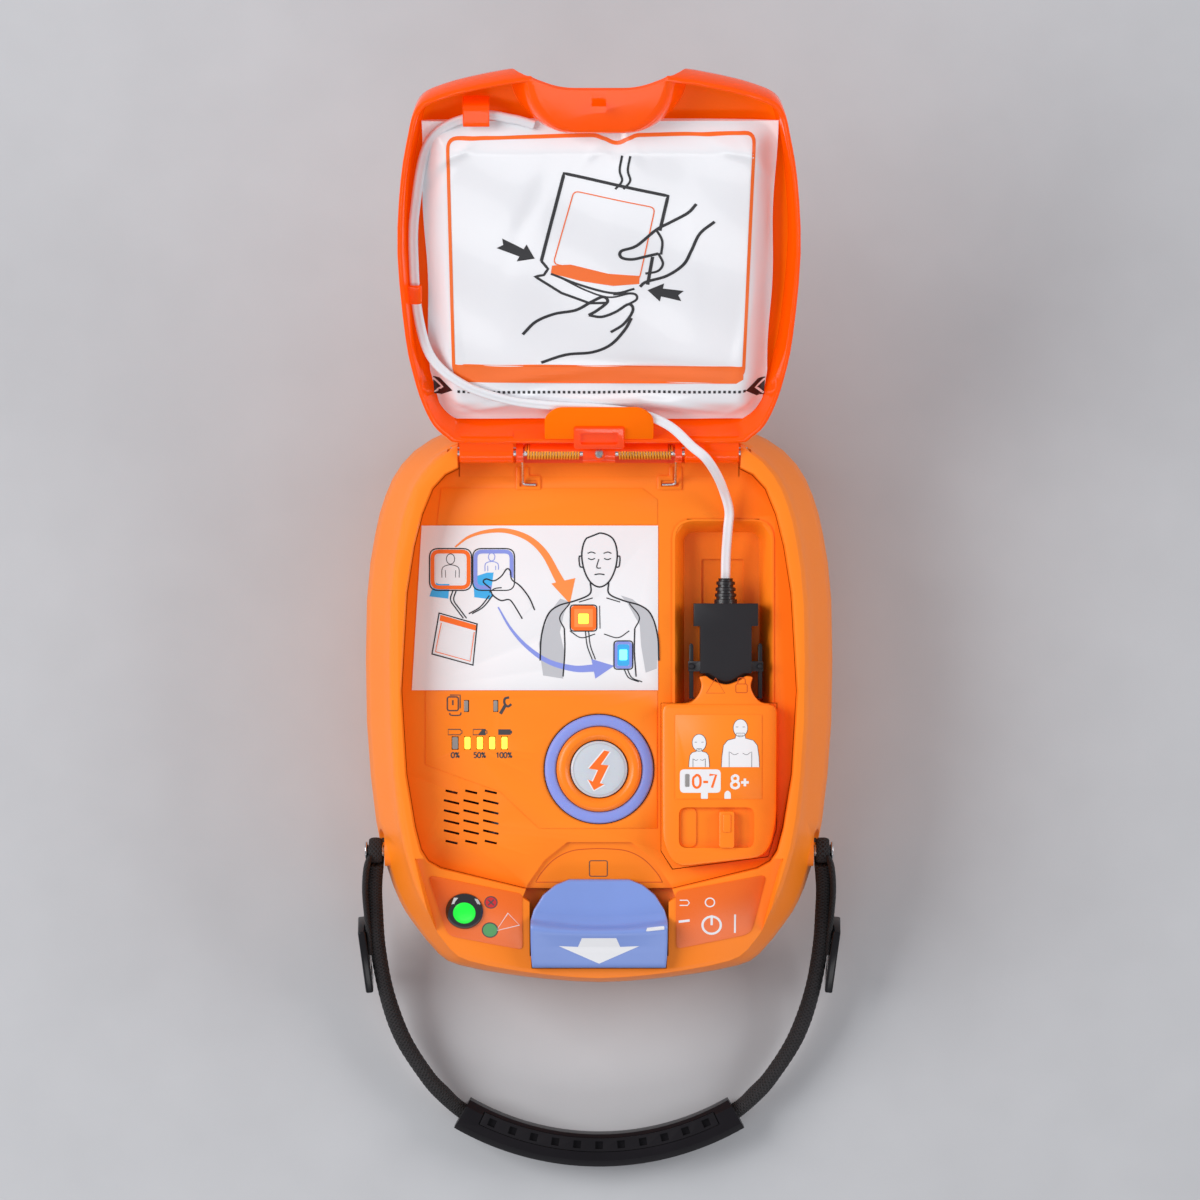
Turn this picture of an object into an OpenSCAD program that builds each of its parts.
// Compact automatic defibrillator, lying on its back with the lid open and the carry handle laid forward.
// Millimetres, +Z up, +Y towards the lid hinge. The origin is the centre of the flat back of the case.

/* [Case] */
// Overall width of the case
case_w = 206; // [204:1:208]
// Overall length of the case, from the front to the hinge end
case_l = 251; // [250:1:253]
// Height of the joint between the two case halves
parting_z = 40; // [38:1:42]
// Height of the side rims that the lid drops between
rim_z = 88; // [87:1:90]
// Wall thickness of both case halves
wall = 2.5; // [2:0.25:3]

/* [Deck] */
// Height of the control deck's upper face
deck_z = 70; // [69:0.5:70.5]
// Thickness of the control deck
deck_t = 3; // [2.5:0.5:3]
// Radius of the shock button's face
button_r = 12.4; // [11.5:0.1:12.5]
// How far the shock button travels
button_travel = 2; // [1:0.25:2.5]

/* [Lid] */
// Height of the lid's highest point when it is shut
lid_top_z = 97; // [96:0.5:98]
// Thickness of the lid's wall
lid_wall = 2.2; // [1.8:0.1:2.4]
// Angle through which the lid turns from shut to open
lid_angle = 144; // [120:1:146]

/* [Pads lead] */
// Thickness of the flat twin lead
lead_t = 2.6; // [2.4:0.1:2.8]
// Width of the flat twin lead
lead_w = 4.2; // [4:0.1:4.4]

/* [Carry handle] */
// Radius of the grip's curve
grip_r = 123; // [121:1:124]
// Depth of the grip
grip_d = 14.5; // [13:0.5:15]

/* [Hidden] */

$fn = 64;
case_orange = [1.0, 0.5, 0.16];
lid_red = [0.93, 0.22, 0.06];
lever_blue = [0.42, 0.53, 0.8];
soft_black = [0.14, 0.13, 0.15];
paper_white = [0.93, 0.93, 0.95];
half_w = case_w / 2;
half_l = case_l / 2;
tiny = 0.1;

// Half of the case's plan, as fractions of its half width and half length, from the front to the back.
CASE_EDGE = [[0, -1], [0.21, -0.99], [0.41, -0.97], [0.6, -0.94], [0.69, -0.9], [0.8, -0.79],
    [0.86, -0.71], [0.91, -0.6], [0.96, -0.43], [1, -0.08], [1, 0.35], [0.965, 0.58], [0.92, 0.72],
    [0.85, 0.83], [0.72, 0.92], [0.49, 0.98], [0, 1]];
// Height and inset of the case's sides, from the back up to the parting line, and from there to the rim.
REAR_SIDES = [[0, 13], [3, 8], [10, 4.5], [25, 1.5], [parting_z, 0]];
FRONT_SIDES = [[parting_z + 1, 0], [55, 3], [68, 8.5], [80, 11.5], [rim_z - 2, 12.6], [rim_z, 14.2]];

// The lid turns about this line, and its plan is given as half width at a distance from that line.
hinge_y = 108.4;
hinge_z = 85;
LID_EDGE = [[0, 189.6], [31, 189.3], [68, 180.3], [73.5, 177.3], [76.5, 172.5], [79, 163], [82.8, 140],
    [85, 104], [82.6, 62], [79.5, 42], [76, 28], [71.5, 17], [66, 11], [60, 8], [0, 8]];

lever_y = -97;
lever_travel = 9.5;
bay_x = 55.4;
knob_x = 55.7;
knob_y = -56;
knob_travel = 10;
lug_y = -66.6;
lug_z = 49;
grip_y = -80;
BUTTON = [0, -30];
SPEAKER = [-56, -51];
STATUS = [-59, -92.5];
// Slope of the front panel, and the line that it turns about.
panel_slope = 17;
panel_y = -76;
panel_z = 79;

// A point on the smooth curve from b to c, with a before it and d after it.
function curve_point(a, b, c, d, t) = 0.5 * (2 * b + (c - a) * t + (2 * a - 5 * b + 4 * c - d) * t * t
    + (3 * b - a - 3 * c + d) * t * t * t);
function smooth_loop(p, steps) = [for (i = [0:len(p) - 1], k = [0:steps - 1])
    curve_point(p[(i + len(p) - 1) % len(p)], p[i], p[(i + 1) % len(p)], p[(i + 2) % len(p)], k / steps)];
function both_sides(half) = concat(half, [for (i = [len(half) - 2:-1:1]) [-half[i][0], half[i][1]]]);
CASE_LOOP = smooth_loop(both_sides(CASE_EDGE), 2);
function case_ring(inset) = [for (p = CASE_LOOP) [p[0] * (half_w - inset), p[1] * (half_l - inset / 2)]];
// The lid's plan, grown outwards by a distance, with y as in the closed position.
function lid_ring(grow) = [for (p = both_sides(LID_EDGE))
    [p[0] * (85 + grow) / 85, hinge_y - 98.8 - (p[1] - 98.8) * (90.8 + grow) / 90.8]];

// A solid through a stack of outlines that all have the same number of points.
module loft(rings, heights) {
    n = len(rings[0]);
    top = (len(rings) - 1) * n;
    walls = [for (k = [0:len(rings) - 2], i = [0:n - 1]) let (a = k * n + i, b = k * n + (i + 1) % n)
        each [[a, a + n, b], [b, a + n, b + n]]];
    polyhedron(points = [for (k = [0:len(rings) - 1], p = rings[k]) [p[0], p[1], heights[k]]],
        faces = concat([[for (i = [0:n - 1]) i]], walls, [[for (i = [n - 1:-1:0]) top + i]]),
        convexity = 8);
}
module case_solid(sides, inset) {
    loft([for (s = sides) case_ring(s[1] + inset)], [for (s = sides) s[0]]);
}
module lid_plate(grow, low, high) {
    translate([0, 0, low]) linear_extrude(high - low) polygon(lid_ring(grow));
}
// A block given by its lowest and highest corners.
module block(low, high) {
    translate(low) cube(high - low);
}
module disc(place, r, low, high) {
    translate([place[0], place[1], low]) cylinder(r = r, h = high - low);
}
// A rod along X.
module across(y, z, r, from, to) {
    translate([from, y, z]) rotate([0, 90, 0]) cylinder(r = r, h = to - from);
}
module ring(place, inner, outer, low, high) {
    translate([place[0], place[1], low]) rotate_extrude()
        translate([inner, 0]) square([outer - inner, high - low]);
}
module plate(points, low, high) {
    translate([0, 0, low]) linear_extrude(high - low) polygon(points);
}
module mirrored_pair() {
    children();
    mirror([1, 0, 0]) children();
}
// Lays its children, made in the shut position, out as they lie with the lid open.
module opened() {
    translate([0, hinge_y, hinge_z]) rotate([-lid_angle, 0, 0])
        translate([0, -hinge_y, -hinge_z]) children();
}
// Lays its children on the sloping front panel: their z = 0 is the panel's face.
module on_panel() {
    translate([0, panel_y, panel_z]) rotate([panel_slope, 0, 0]) translate([0, -panel_y, 0]) children();
}

// A tube along a route of points, with a rounded flat section of a width and a height.
function unit(v) = v / norm(v);
function along(path, i) = unit(path[min(i + 1, len(path) - 1)] - path[max(i - 1, 0)]);
function side_of(path, i, up) = unit(cross(along(path, i), up));
function smooth_path(p, steps) = concat([for (i = [0:len(p) - 2], k = [0:steps - 1])
    curve_point(p[max(i - 1, 0)], p[i], p[i + 1], p[min(i + 2, len(p) - 1)], k / steps)], [p[len(p) - 1]]);
module sweep(path, width, height, up, power) {
    sides = 8;
    function lobe(v) = sign(v) * pow(abs(v), power);
    function turn(k) = 360 * k / sides + 22.5;
    rings = [for (i = [0:len(path) - 1])
        let (across = side_of(path, i, up), rise = cross(across, along(path, i)))
        [for (k = [0:sides - 1]) path[i] + across * width / 2 * lobe(cos(turn(k)))
            + rise * height / 2 * lobe(sin(turn(k)))]];
    n = sides;
    last = (len(rings) - 1) * n;
    walls = [for (k = [0:len(rings) - 2], i = [0:n - 1]) let (a = k * n + i, b = k * n + (i + 1) % n)
        each [[a, b, a + n], [b, b + n, a + n]]];
    polyhedron(points = [for (r = rings, p = r) p],
        faces = concat([[for (i = [n - 1:-1:0]) i]], walls, [[for (i = [0:n - 1]) last + i]]),
        convexity = 8);
}

// ---- Case ----
// Room beside the case for the loop of the strap.
module lug_recess() {
    across(lug_y, lug_z, 9.5, 94.8, 120);
}
BAY_LOW = [-44.5, 56, 3];
BAY_HIGH = [44.5, 130, 34.5];
SCREWS = [[-74, -70], [74, -70], [-88, 20], [88, 20], [-72, 92], [72, 92]];
post_top = parting_z - 1;
BOARD_POSTS = [[-60, -60], [60, -60], [-62, 40], [62, 40]];
board_z = 48;

module rear_case() {
    color(case_orange) for (p = BOARD_POSTS) {
        disc(p, 3, 1, board_z);
        disc(p, 1.6, board_z - 1, board_z + 2.4);
    }
    color(case_orange) difference() {
        intersection() {
            case_solid(REAR_SIDES, 0);
            difference() {
                block([-110, -130, 0], [110, 130, parting_z]);
                difference() {
                    case_solid([[3, 8], [10, 4.5], [25, 1.5], [parting_z, 0], [parting_z + 1, 0]], wall);
                    block(BAY_LOW, BAY_HIGH);
                    for (s = SCREWS) disc(s, 4, 0, post_top);
                }
            }
        }
        block(BAY_LOW + [2.5, 2.5, 2.5], BAY_HIGH + [-2.5, 4, -2.5]);
        for (s = SCREWS) {
            disc(s, 2.9, -1, 5);
            disc(s, 1.6, 4, 60);
        }
        mirrored_pair() lug_recess();
        block([-12, 55, 12], [12, 60, 26]);
    }
}

module case_gasket() {
    color(soft_black) difference() {
        loft([case_ring(0.9), case_ring(0.9)], [parting_z, parting_z + 1]);
        loft([case_ring(wall), case_ring(wall)], [parting_z - 1, parting_z + 2]);
        mirrored_pair() lug_recess();
    }
}

module case_screws() {
    color("silver") for (s = SCREWS) {
        disc(s, 2.6, 2.4, 5);
        disc(s, 1.5, 4.9, 52);
    }
}

PANEL_EDGE = [[-78.5, -70], [-31, -82], [31, -82], [78.5, -70]];
DOME = [[-33.5, -86], [-31, -80], [-24, -70], [-14, -62], [14, -62], [24, -70], [31, -80], [33.5, -86]];

// Everything above the sloping front panel, between the two wings.
module above_panel() {
    on_panel() plate([[-80, -66], [-63, -135], [63, -135], [80, -66]], 0, 60);
}
module lever_slot() {
    plate(concat(DOME, [[30.4, -88], [30.4, -112], [-30.4, -112], [-30.4, -88]]), 64, 100);
    plate([[-30.4, -100], [30.4, -100], [29.6, -117.6], [-29.6, -117.6]], 60, 100);
    block([-3.5, -110, 55], [3.5, -94, 66]);
}
module front_case() {
    color(case_orange) difference() {
        union() {
            case_solid(FRONT_SIDES, 0);
            mirrored_pair() across(lug_y, lug_z, 7, 86, 94.6);
        }
        difference() {
            case_solid([[parting_z, 0], [55, 3], [63, 7]], wall + 1);
            for (s = SCREWS) disc(s, 4, parting_z, 64);
        }
        for (s = SCREWS) disc(s, 1.5, parting_z, 54);
        lid_plate(1.5, deck_z - deck_t, 110);
        lid_plate(-3.5, 55, 80);
        above_panel();
        lever_slot();
        // Rear end, lowered behind the hinge so that the lid can swing back.
        block([-61.5, 97, deck_z - deck_t], [61.5, 117.5, 100]);
        translate([0, 110, 80]) rotate([-16, 0, 0]) block([-76, 0, 0], [76, 40, 40]);
        mirrored_pair() across(lug_y, lug_z, 2.5, 80, 120);
        across(hinge_y, hinge_z, 2.05, -66, 66);
        plate(BLOCK_PLAN, 50, 90);
        plate(BAY_PLAN, 50, 90);
        mirrored_pair() lug_recess();
    }
}

module deck_hole_slots() {
    for (row = [0:5], column = [0:2]) {
        trim = row == 0 || row == 5 ? 1.6 : 0;
        translate([SPEAKER[0] - 8.6 + column * 8.6, SPEAKER[1] + 11 - row * 4.4, 60]) rotate([0, 0, -13])
            translate([-3.5 + trim / 2, -0.5, 0]) cube([7 - trim, 1, 20]);
    }
}
BATTERY_X = [-63, -57.6, -52.2, -46.8, -41.4];
SERVICE_X = [-58, -45.2];
PAD_LIGHTS = [[-6.7, 35.8], [10.8, 20]];

module control_deck() {
    color(case_orange) difference() {
        union() {
            lid_plate(1.2, deck_z - deck_t, deck_z);
            ring(SPEAKER, 15, 17, 64, deck_z - deck_t + tiny);
        }
        plate(BLOCK_PLAN, 60, 80);
        plate(BAY_PLAN, 60, 80);
        disc(BUTTON, 24.2, 60, 80);
        deck_hole_slots();
        block([-61.4, 98, 60], [61.4, 120, 90]);
        // A shallow recess behind the lever, which the lever slides back over.
        plate(DOME, deck_z - 1.8, 100);
        for (x = BATTERY_X) block([x - 1.5, -21.5, 60], [x + 1.5, -15.7, 80]);
        for (x = SERVICE_X) block([x - 1.1, -5, 60], [x + 1.1, 0.2, 80]);
        for (p = PAD_LIGHTS) disc(p, 2.4, 60, 80);
    }
}

module deck_overlay() {
    color([0.97, 0.55, 0.25]) difference() {
        plate([[-76, 36], [-69, 93], [19, 93], [25.5, 88], [25.5, -56], [-26, -56], [-43, -40], [-76, -28]],
            deck_z, deck_z + 0.3);
        disc(BUTTON, 24.6, 60, 80);
        deck_hole_slots();
        block([-82, 4.2, 60], [26.2, 77, 80]);
        for (x = BATTERY_X) block([x - 1.5, -21.5, 60], [x + 1.5, -15.7, 80]);
        for (x = SERVICE_X) block([x - 1.1, -5, 60], [x + 1.1, 0.2, 80]);
    }
}
module instruction_label() {
    color(paper_white) difference() {
        plate([[-82, 4.5], [-77.7, 76.6], [25.8, 76.6], [25.8, 4.5]], deck_z, deck_z + 0.4);
        for (p = PAD_LIGHTS) disc(p, 2.4, 60, 80);
    }
}

module speaker() {
    color("dimgray") difference() {
        union() {
            disc(SPEAKER, 14.6, 62.5, 66.5);
            disc(SPEAKER, 8, 55, 62.6);
        }
        translate([SPEAKER[0], SPEAKER[1], 64]) cylinder(r1 = 6, r2 = 13, h = 2.6);
    }
}
module main_board() {
    color("seagreen") difference() {
        union() {
            block([-68, -64, board_z], [68, 48, board_z + 1.6]);
            block([-30, 0, 49.5], [-10, 20, 51.4]);
            block([10, 2, 49.5], [22, 14, 51.2]);
            block([-50, 20, 49.5], [-38, 38, 53]);
        }
        for (p = BOARD_POSTS) disc(p, 1.7, 40, 60);
    }
}
module shock_capacitor() {
    color("royalblue") translate([-36, -58, 23]) rotate([0, 90, 0]) union() {
        cylinder(r = 17, h = 66);
        translate([-6, 0, 66]) cylinder(r = 2.5, h = 4);
        translate([6, 0, 66]) cylinder(r = 2.5, h = 4);
    }
}
module charging_transformer() {
    color("goldenrod") union() {
        block([-30, -20, 3], [14, 24, 8]);
        block([-26, -16, 8], [10, 20, 32]);
        block([-30, -20, 32], [14, 24, 37]);
    }
}

// ---- Shock button ----
module shock_ring() {
    color([0.55, 0.62, 0.85]) union() {
        ring(BUTTON, 18.9, 23.8, deck_z - 2, deck_z + 1.6);
        ring(BUTTON, 20.5, 22.5, deck_z - 6, deck_z - 1.9);
    }
}
module shock_bezel() {
    color([1, 0.42, 0.1]) translate([BUTTON[0], BUTTON[1], deck_z]) rotate_extrude()
        polygon([[button_r + 0.35, -3], [18.7, -3], [18.7, 1.5], [17.2, 3], [14.8, 3],
            [button_r + 0.35, 1.2]]);
}
module shock_button() {
    color(paper_white) translate([BUTTON[0], BUTTON[1], deck_z]) rotate_extrude()
        polygon([[0, -4], [4, -4], [4, -1], [button_r - 0.8, -1], [button_r, -0.4], [button_r, 1.9],
            [button_r - 0.7, 2.6], [0, 2.6]]);
}
module button_dome() {
    color("whitesmoke") translate([BUTTON[0], BUTTON[1], deck_z]) rotate_extrude()
        polygon([[4.6, -1.2], [6.4, -1.2], [10.5, -6.6], [10.5, -7.6], [8.8, -7.6]]);
}
module shock_switch() {
    color("gray") union() {
        block([-11, -41, deck_z - 10], [11, -19, deck_z - 7.8]);
        block([-3, -33, deck_z - 7.9], [3, -27, deck_z - 6.3]);
        block([-9, -39, 49.6], [-7, -37, deck_z - 9.9]);
        block([7, -23, 49.6], [9, -21, deck_z - 9.9]);
    }
}

// ---- Front panel ----
module status_label() {
    color(case_orange) on_panel() difference() {
        plate([[-76.5, -73.5], [-34.5, -84], [-35, -109.5], [-67, -104]], 0, 0.4);
        disc([STATUS[0], STATUS[1] - 1], 8.3, -1, 2);
    }
}
module status_lens() {
    color("black") on_panel() translate([STATUS[0], STATUS[1] - 1, 0]) rotate_extrude()
        polygon([[0, 1.4], [7.9, 1.4], [7.9, 0.1], [8.1, 0.1], [8.1, 1.2], [6.5, 2.4], [3.5, 3.2], [0, 3.5]]);
}
module status_flag() {
    color("limegreen") on_panel() translate([STATUS[0], STATUS[1] - 1, 0]) cylinder(r = 5, h = 1.2);
}
module power_label() {
    color(case_orange) on_panel() plate([[34.5, -84], [73.5, -74], [67, -104], [35, -109.5]], 0, 0.4);
}

// ---- Lights ----
module battery_lights() {
    color("yellow") for (x = BATTERY_X) block([x - 1.3, -21.3, deck_z - 2], [x + 1.3, -15.9, deck_z + 0.5]);
}
module service_lights() {
    color("gray") for (x = SERVICE_X) block([x - 0.9, -4.8, deck_z - 2], [x + 0.9, 0, deck_z + 0.5]);
}
module pad_lights() {
    color("gold") for (p = PAD_LIGHTS) disc(p, 2.1, deck_z - 2, deck_z + 1);
}

// ---- Selector block, its knob and the connector socket ----
BLOCK_PLAN = [[27, -1], [27, -66], [32, -74], [74, -68.5], [77.8, -56], [78, -1]];
BAY_PLAN = [[32, -1.5], [32, 70], [38.5, 79.5], [70, 79.5], [76.5, 70], [76.5, -1.5]];
BAY_ROOM = [[34, 0], [34, 69], [40, 77.5], [69, 77.5], [74.5, 69], [74.5, 0]];
socket_z = 68.5;
block_top = 79;
function shrunk(plan, centre, k) = [for (p = plan) (p - centre) * k + centre];
BLOCK_MID = [53, -37];
SOCKET_PLAN = [[41.5, -2], [44.3, 11.7], [66.5, 11.7], [69.3, -2]];
module selector_block() {
    color(case_orange) difference() {
        union() {
            plate(shrunk(BLOCK_PLAN, BLOCK_MID, 0.99), 56, deck_z);
            loft([for (k = [0.99, 0.93]) shrunk(BLOCK_PLAN, BLOCK_MID, k)], [deck_z, block_top]);
            plate(shrunk(BAY_PLAN, [54, 39], 0.99), 56, deck_z + 1);
            plate(SOCKET_PLAN, 57, 77);
        }
        difference() {
            plate(BAY_ROOM, 58, 90);
            plate(SOCKET_PLAN, 57, 77);
        }
        block([46.2, -16, 63.7], [64.6, 12.5, 73.3]);
        block([34.4, -64.3, block_top - 2.5], [67.7, -46, 90]);
        block([42.5, -58, 50], [59.5, -54, 90]);
        block([30, -70, 50], [74, -20, 74]);
        for (p = AGE_LIGHTS) block([p[0] - 1.1, p[1] - 3, 50], [p[0] + 1.1, p[1] + 3, 90]);
    }
}
AGE_LIGHTS = [[38.5, -34.5]];
module age_label() {
    color(case_orange) difference() {
        block([33.2, -42.7, block_top], [71, -6, block_top + 0.3]);
        for (p = AGE_LIGHTS) block([p[0] - 1.1, p[1] - 3, 50], [p[0] + 1.1, p[1] + 3, 90]);
    }
}
module age_lights() {
    color("gray") for (p = AGE_LIGHTS)
        block([p[0] - 0.9, p[1] - 2.8, block_top - 2], [p[0] + 0.9, p[1] + 2.8, block_top + 0.4]);
}
module age_knob() {
    color(case_orange) union() {
        block([knob_x - 3.3, knob_y - 8, block_top - 2.1], [knob_x + 3.3, knob_y + 8, block_top + 2]);
        block([knob_x - 1.8, knob_y - 1.5, 69], [knob_x + 1.8, knob_y + 1.5, block_top - 2]);
        block([knob_x - 2, knob_y - 4.5, block_top + 2], [knob_x + 2, knob_y + 4.5, block_top + 2.8]);
    }
}
module age_switch() {
    color("silver") difference() {
        block([41, -61, 60], [61.5, -51, 72.5]);
        block([42.8, -58, 66], [59.2, -54, 80]);
    }
}
module socket_pins() {
    color("gold") for (x = [-4.5, 4.5]) translate([bay_x + x, -19, socket_z]) rotate([-90, 0, 0])
        cylinder(r = 1.2, h = 14);
}
module connector_body() {
    color(soft_black) difference() {
        union() {
            block([bay_x - 8.8, -8, 64], [bay_x + 8.8, 9, 73]);
            block([bay_x - 11.2, 12, 61], [bay_x + 11.2, 35.5, 76]);
            block([bay_x - 8.8, 8.9, 64], [bay_x + 8.8, 12.1, 73]);
            block([bay_x - 14, 32.6, 61], [bay_x + 14, 42.5, 76]);
            for (side = [-1, 1]) for (z = [63, 73.2])
                block([bay_x + side * 13.5 - 2.8, 12.8, z], [bay_x + side * 13.5 + 2.8, 17.2, z + 1.6]);
        }
        for (x = [-4.5, 4.5]) translate([bay_x + x, -9, socket_z]) rotate([-90, 0, 0])
            cylinder(r = 1.3, h = 16);
        for (side = [-1, 1]) translate([bay_x + side * 15, 15, 60]) cylinder(r = 1.05, h = 20);
    }
}
module strain_relief() {
    color(soft_black) translate([bay_x, 42.5, socket_z]) rotate([-90, 0, 0]) difference() {
        union() {
            cylinder(r1 = 4.8, r2 = 3.6, h = 11);
            for (k = [0:3]) translate([0, 0, 1 + k * 2.5]) cylinder(r = 5 - k * 0.25, h = 1.2);
        }
        translate([0, 0, 8]) linear_extrude(4) square([lead_w + 0.2, lead_t + 0.2], center = true);
    }
}
// A side arm that turns on an upright pin: squeezing its outer end frees the hooked inner end.
module latch_arm() {
    color(soft_black) union() {
        translate([15, 15, 62]) cylinder(r = 1, h = 14);
        plate([[14.2, 24], [14.2, 2], [13.6, 0.9], [15.9, 0.9], [15.9, 24], [15.4, 25], [14.7, 25]],
            65, 72.9);
    }
}
module connector_latch_right() {
    translate([bay_x, 0, 0]) latch_arm();
}
module connector_latch_left() {
    translate([bay_x, 0, 0]) mirror([1, 0, 0]) latch_arm();
}

// ---- Hinge ----
module hinge_pin() {
    color("silver") across(hinge_y, hinge_z, 2, -64.5, 64.5);
}
module spring_holder() {
    color([0.8, 0.45, 0.12]) difference() {
        union() {
            block([-36, 103.8, deck_z - deck_t], [36, 112.2, 87]);
            across(hinge_y, hinge_z, 4.6, -36, 36);
            disc([0, hinge_y - 1], 3, 84, 90);
        }
        across(hinge_y, hinge_z, 2.05, -40, 40);
        mirrored_pair() across(hinge_y, hinge_z, 3.5, 6.5, 33);
        mirrored_pair() block([7, 100, 78], [30, hinge_y, 100]);
        mirrored_pair() block([29.9, 100, 76], [33, hinge_y + 3.5, 100]);
        disc([0, hinge_y - 1], 1.1, 87.4, 92);
    }
}
// A torsion spring: its coils go round the hinge pin, and its fixed leg reaches forward into the deck.
module torsion_spring() {
    color("silver") difference() {
        union() {
            across(hinge_y, hinge_z, 3.1, 7, 31.8);
            block([31, hinge_y - 3.6, hinge_z - 8], [31.8, hinge_y - 2.8, hinge_z - 1]);
            block([31, 95.5, hinge_z - 8], [31.8, hinge_y - 2.9, hinge_z - 7.2]);
            block([31, 95.5, deck_z + 1], [31.8, 96.3, hinge_z - 7.3]);
            block([27, 95.5, deck_z + 1], [31.8, 96.3, deck_z + 1.8]);
        }
        across(hinge_y, hinge_z, 2.3, 6, 33);
    }
}
module hinge_spring_right() {
    torsion_spring();
}
module hinge_spring_left() {
    mirror([1, 0, 0]) torsion_spring();
}
module hinge_screw() {
    color("silver") disc([0, hinge_y - 1], 1.9, 90, 91.2);
    color("silver") disc([0, hinge_y - 1], 1, 87.5, 90.1);
}

// ---- Lid and what it carries ----
TUB_PLAN = [[-15, -56], [-25, -66], [-31, -84], [31, -84], [25, -66], [15, -56]];
TUB_TOP = [[-22, -48], [-34, -60], [-41, -84], [41, -84], [34, -60], [22, -48]];
NOTCH = [[-31, -95], [-31, -81.6], [-16, -75.3], [16, -75.3], [31, -81.6], [31, -95]];
shelf_z = 78;
// The outside of the lid: its walls lean in, and round over to the flat top.
module lid_outside() {
    loft([for (g = [0, -0.8, -3.5, -8, -16]) lid_ring(g)],
        [hinge_z - 5.5, lid_top_z - 7, lid_top_z - 2.5, lid_top_z - 0.7, lid_top_z]);
}
module lid_shell() {
    top = lid_top_z;
    low = hinge_z - 5.5;
    color(lid_red) opened() difference() {
        union() {
            difference() {
                lid_outside();
                loft([for (g = [0, -0.8, -3.2, -7.2, -15]) lid_ring(g - lid_wall)],
                    [low - 1, top - 9, top - 4.5, top - 2.7, top - 2.2]);
            }
            intersection() {
                loft([TUB_PLAN, TUB_TOP], [shelf_z - 2, top - 2]);
                union() {
                    lid_plate(-0.1, 70, low + 0.5);
                    lid_outside();
                }
            }
            block([-3, -69, shelf_z - 8], [3, -66.5, shelf_z - 1]);
            mirrored_pair() across(hinge_y, hinge_z, 4.8, 37.2, 60.6);
            mirrored_pair() block([37.2, hinge_y - 10, hinge_z - 4], [60.6, hinge_y - 3, hinge_z + 4.8]);
        }
        translate([0, -2, 2]) loft([TUB_PLAN, TUB_TOP], [shelf_z - 2, top]);
        plate(NOTCH, 60, 110);
        mirrored_pair() across(hinge_y, hinge_z, 2.06, 36, 62);
    }
}
module lead_retainer() {
    color([0.95, 0.4, 0.08]) opened() union() {
        plate([[-23, 97.5], [23, 97.5], [23, 86.5], [18, 82.5], [-18, 82.5], [-23, 86.5]], 79.2, 80.6);
        block([-20, 94, 80.5], [20, 96, 92.8]);
    }
}
CLIPS = [[-51, -57.5], [-79.2, 24]];
module lead_clips() {
    color([0.85, 0.2, 0.06]) opened() {
        block([-58, -62.5, 84.5], [-44, -53.5, 86]);
        block([-58, -64.5, 84.5], [-44, -62.4, 94.2]);
        block([-79.6, 20, 86], [-75.6, 28, 87.4]);
        block([-81.6, 20, 86], [-79.5, 28, 92]);
    }
}
POUCH_PLAN = [[-69.5, -44], [-74, -33], [-72.5, 68], [-66, 84], [66, 84], [72.5, 68], [74, -33], [69.5, -44]];
function pouch_ring(grow) = [for (p = POUCH_PLAN)
    [p[0] * (1 + grow / 74.5), 23.7 + (p[1] - 23.7) * (1 + grow / 69.7)]];
module pouch_film() {
    color("whitesmoke") opened() difference() {
        loft([pouch_ring(0), pouch_ring(-1), pouch_ring(-9), pouch_ring(-12)], [91.8, 91.3, 86.4, 84.6]);
        loft([pouch_ring(-4), pouch_ring(-4), pouch_ring(-10), pouch_ring(-13)], [91.9, 91.3, 87, 85.2]);
    }
}
module pouch_back() {
    color("gainsboro") opened() plate(pouch_ring(0), 91.8, 92.4);
}
module chest_pad() {
    color("orange") opened() block([-56, -28, 89.4], [56, 70, 91.2]);
}
module side_pad() {
    color("steelblue") opened() block([-56, -28, 87.2], [56, 70, 89]);
}

// ---- Pads lead ----
// A point on the lid as it lies open, from its x, its distance from the hinge and its height off the lid.
function on_lid(x, r, n) = [x, hinge_y - r * cos(lid_angle) - n * sin(lid_angle),
    hinge_z + r * sin(lid_angle) - n * cos(lid_angle)];
LEAD_ON_LID = [on_lid(-24, 158, 0), on_lid(-32, 163, -3), on_lid(-51, 166, -4), on_lid(-70.2, 154.5, -4),
    on_lid(-77.5, 120, -4), on_lid(-78.5, 93, -3.5), on_lid(-77, 68, -2), on_lid(-71.5, 49, 1),
    on_lid(-58, 36.5, 2.6), on_lid(-40, 29, 2.6), on_lid(-22, 26, 2.6), on_lid(0, 24.5, 2.6),
    on_lid(18, 21.5, 2.6), on_lid(30, 17, 4.8)];
LEAD_ON_DECK = [on_lid(31, 16.5, 5.2), [40, 110.5, 97], [46, 105.5, 95.5], [51, 98.5, 88], [54.5, 91, 79.5],
    [56.8, 83, 75], [56.3, 75, 73.4], [55.6, 64, 69.8], [55.4, 53.6, socket_z]];
lead_up = [0, -sin(lid_angle), -cos(lid_angle)];
module lead_lid() {
    color(paper_white) sweep(smooth_path(LEAD_ON_LID, 4), lead_t, lead_w - 1, lead_up, 0.7);
}
module lead_deck() {
    color(paper_white) sweep(smooth_path(LEAD_ON_DECK, 4), lead_w - 0.6, lead_t, [0, 0.3, 1], 0.7);
}

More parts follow.
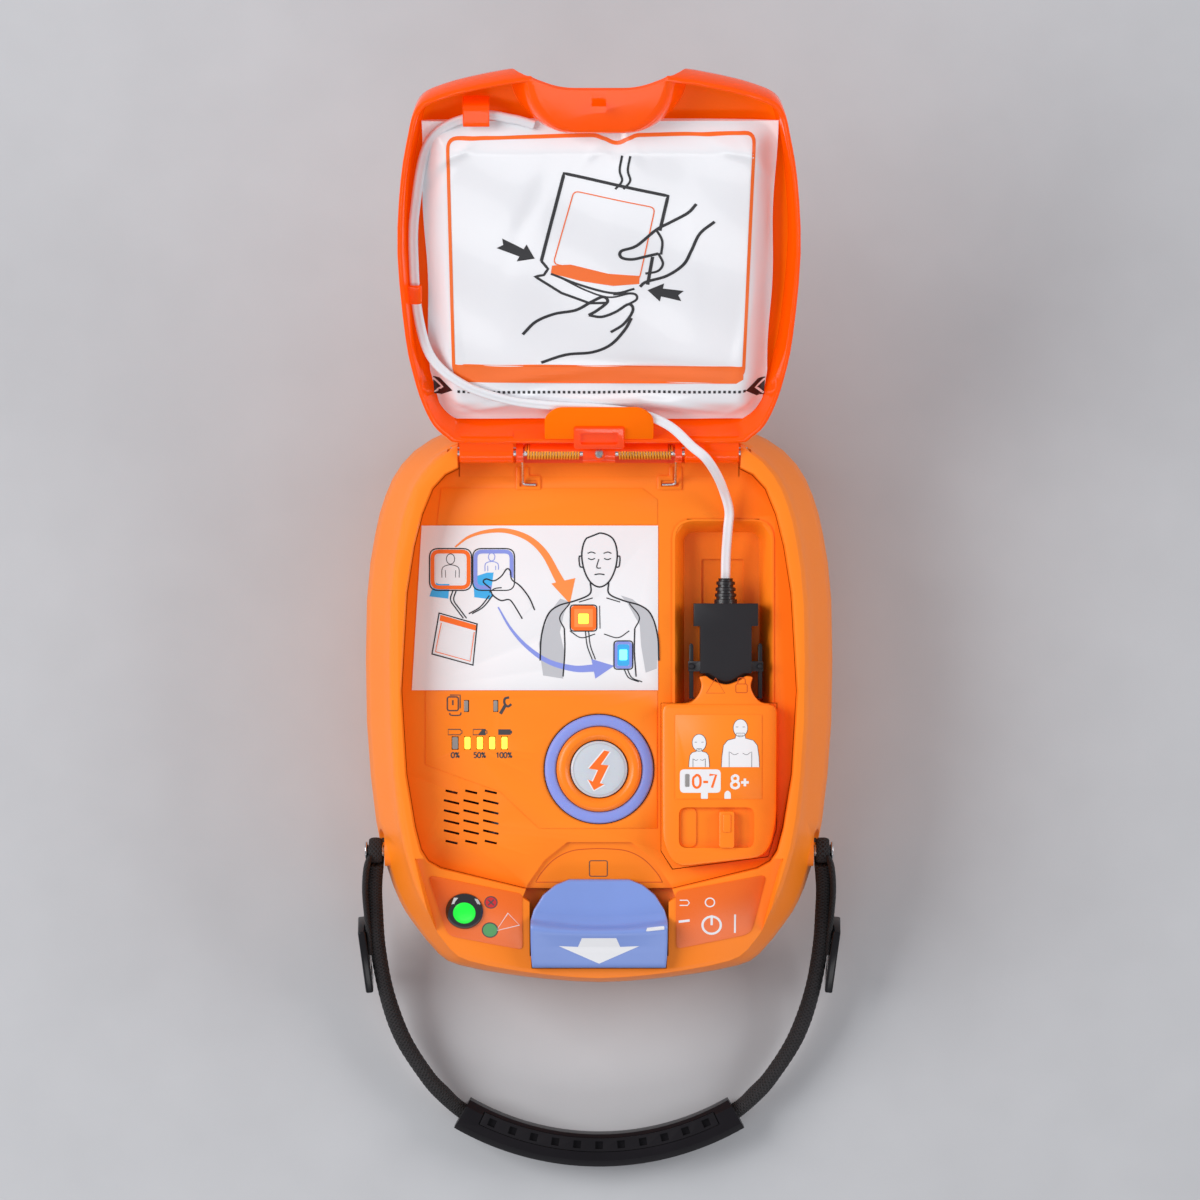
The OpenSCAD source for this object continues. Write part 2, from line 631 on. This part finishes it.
// ---- Power lever ----
LEVER_PLAN = [[-13, -78], [-22, -83], [-27.5, -91], [-29, -99], [-28, -108], [-25, -116], [25, -116],
    [28, -108], [29, -99], [27.5, -91], [22, -83], [13, -78]];
module power_lever() {
    color(lever_blue) union() {
        plate([for (p = LEVER_PLAN) [p[0], max(p[1], -102)]], 68.4, 74);
        intersection() {
            plate(LEVER_PLAN, 60, 90);
            translate([-40, 0, 0]) rotate([90, 0, 90]) linear_extrude(80)
                polygon([[-94, 73.9], [-97.5, 80], [-100, 80], [-116, 71.5], [-116, 64.4], [-103, 64.4],
                    [-101.5, 68.4], [-94, 68.4]]);
        }
        block([-2, -108, 61], [2, -105, 64.5]);
    }
}
module lever_bolt() {
    color("silver") block([-7, -110, 58.8], [7, -98, 61]);
}
module power_switch() {
    color("dimgray") block([10, -100, 53], [20, -84, 62.8]);
}

// ---- Carry handle ----
STRAP = [[98.7, -70.5, 46.6], [99.6, -80, 41], [99.8, -92, 34], [99, -110, 26], [95, -133, 19],
    [88, -153, 14.5], [77, -170.5, 12], [69.5, -178.8, 10.6], [64, -183.9, 10.3]];
module strap() {
    color(soft_black) difference() {
        union() {
            sweep(smooth_path(STRAP, 3), 6.4, 13, [0, 0, 1], 0.6);
            across(lug_y, lug_z, 6, 95.4, 102);
        }
        across(lug_y, lug_z, 2.6, 90, 110);
    }
}
module strap_right() {
    strap();
}
module strap_left() {
    mirror([1, 0, 0]) strap();
}
module slider() {
    color(soft_black) translate([104.3, -114.5, 25]) rotate([0, 0, -6.7]) rotate([20, 0, 0]) difference() {
        block([-1.7, -15, -9], [1.7, 15, 9]);
        for (y = [-9.5, -1.5, 6.5]) block([-3, y, -6], [3, y + 3, 6]);
    }
}
module slider_right() {
    slider();
}
module slider_left() {
    mirror([1, 0, 0]) slider();
}
grip_span = 60;
module grip_arc(span, profile) {
    translate([0, grip_y, 0]) rotate([0, 0, -90 - span / 2]) rotate_extrude(angle = span) polygon(profile);
}
module grip() {
    inner = grip_r - grip_d / 2;
    outer = grip_r + grip_d / 2;
    color(soft_black) difference() {
        grip_arc(grip_span, [[inner, 4], [inner + 3, 0.4], [outer - 3, 0.4], [outer, 4], [outer, 16.5],
            [outer - 3, 20], [inner + 3, 20], [inner, 16.5]]);
        grip_arc(52, [[inner + 1.4, 18], [inner + 7.6, 18], [inner + 7.6, 21], [inner + 1.4, 21]]);
    }
}
module grip_insert() {
    inner = grip_r - grip_d / 2;
    color([0.25, 0.24, 0.27]) difference() {
        grip_arc(51.6, [[inner + 1.6, 18], [inner + 7.4, 18], [inner + 7.4, 19.8], [inner + 1.6, 19.8]]);
        for (k = [-5:5]) translate([0, grip_y, 0]) rotate([0, 0, k * 4.7])
            block([-1.7, -inner - 6.2, 17], [1.7, -inner - 2.8, 22]);
    }
}
module lug_pin_right() {
    color("silver") across(lug_y, lug_z, 2.5, 88, 103);
    color("silver") across(lug_y, lug_z, 3.8, 102.4, 103.4);
}
module lug_pin_left() {
    mirror([1, 0, 0]) lug_pin_right();
}

// ---- Battery ----
module battery_pack() {
    color([0.3, 0.3, 0.33]) difference() {
        block([-41.7, 59.8, 5.8], [41.7, 120.3, 31.7]);
        block([-14, 116, 22], [14, 125, 40]);
    }
}
module battery_contacts() {
    color("gold") union() {
        block([-11, 51, 12.5], [11, 55.7, 25.5]);
        for (x = [-8, 0, 8]) block([x - 1.2, 55.6, 15], [x + 1.2, 59.6, 23]);
    }
}

rear_case();
front_case();
case_gasket();
case_screws();
control_deck();
deck_overlay();
instruction_label();
speaker();
main_board();
shock_capacitor();
charging_transformer();
shock_ring();
shock_bezel();
shock_button();
button_dome();
shock_switch();
status_label();
status_lens();
status_flag();
power_label();
battery_lights();
service_lights();
pad_lights();
selector_block();
age_label();
age_lights();
age_knob();
age_switch();
socket_pins();
connector_body();
strain_relief();
connector_latch_left();
connector_latch_right();
hinge_pin();
spring_holder();
hinge_spring_left();
hinge_spring_right();
hinge_screw();
power_lever();
lever_bolt();
power_switch();
lid_shell();
lead_retainer();
lead_clips();
pouch_film();
pouch_back();
chest_pad();
side_pad();
lead_deck();
lead_lid();
lug_pin_left();
lug_pin_right();
strap_left();
strap_right();
slider_left();
slider_right();
grip();
grip_insert();
battery_pack();
battery_contacts();
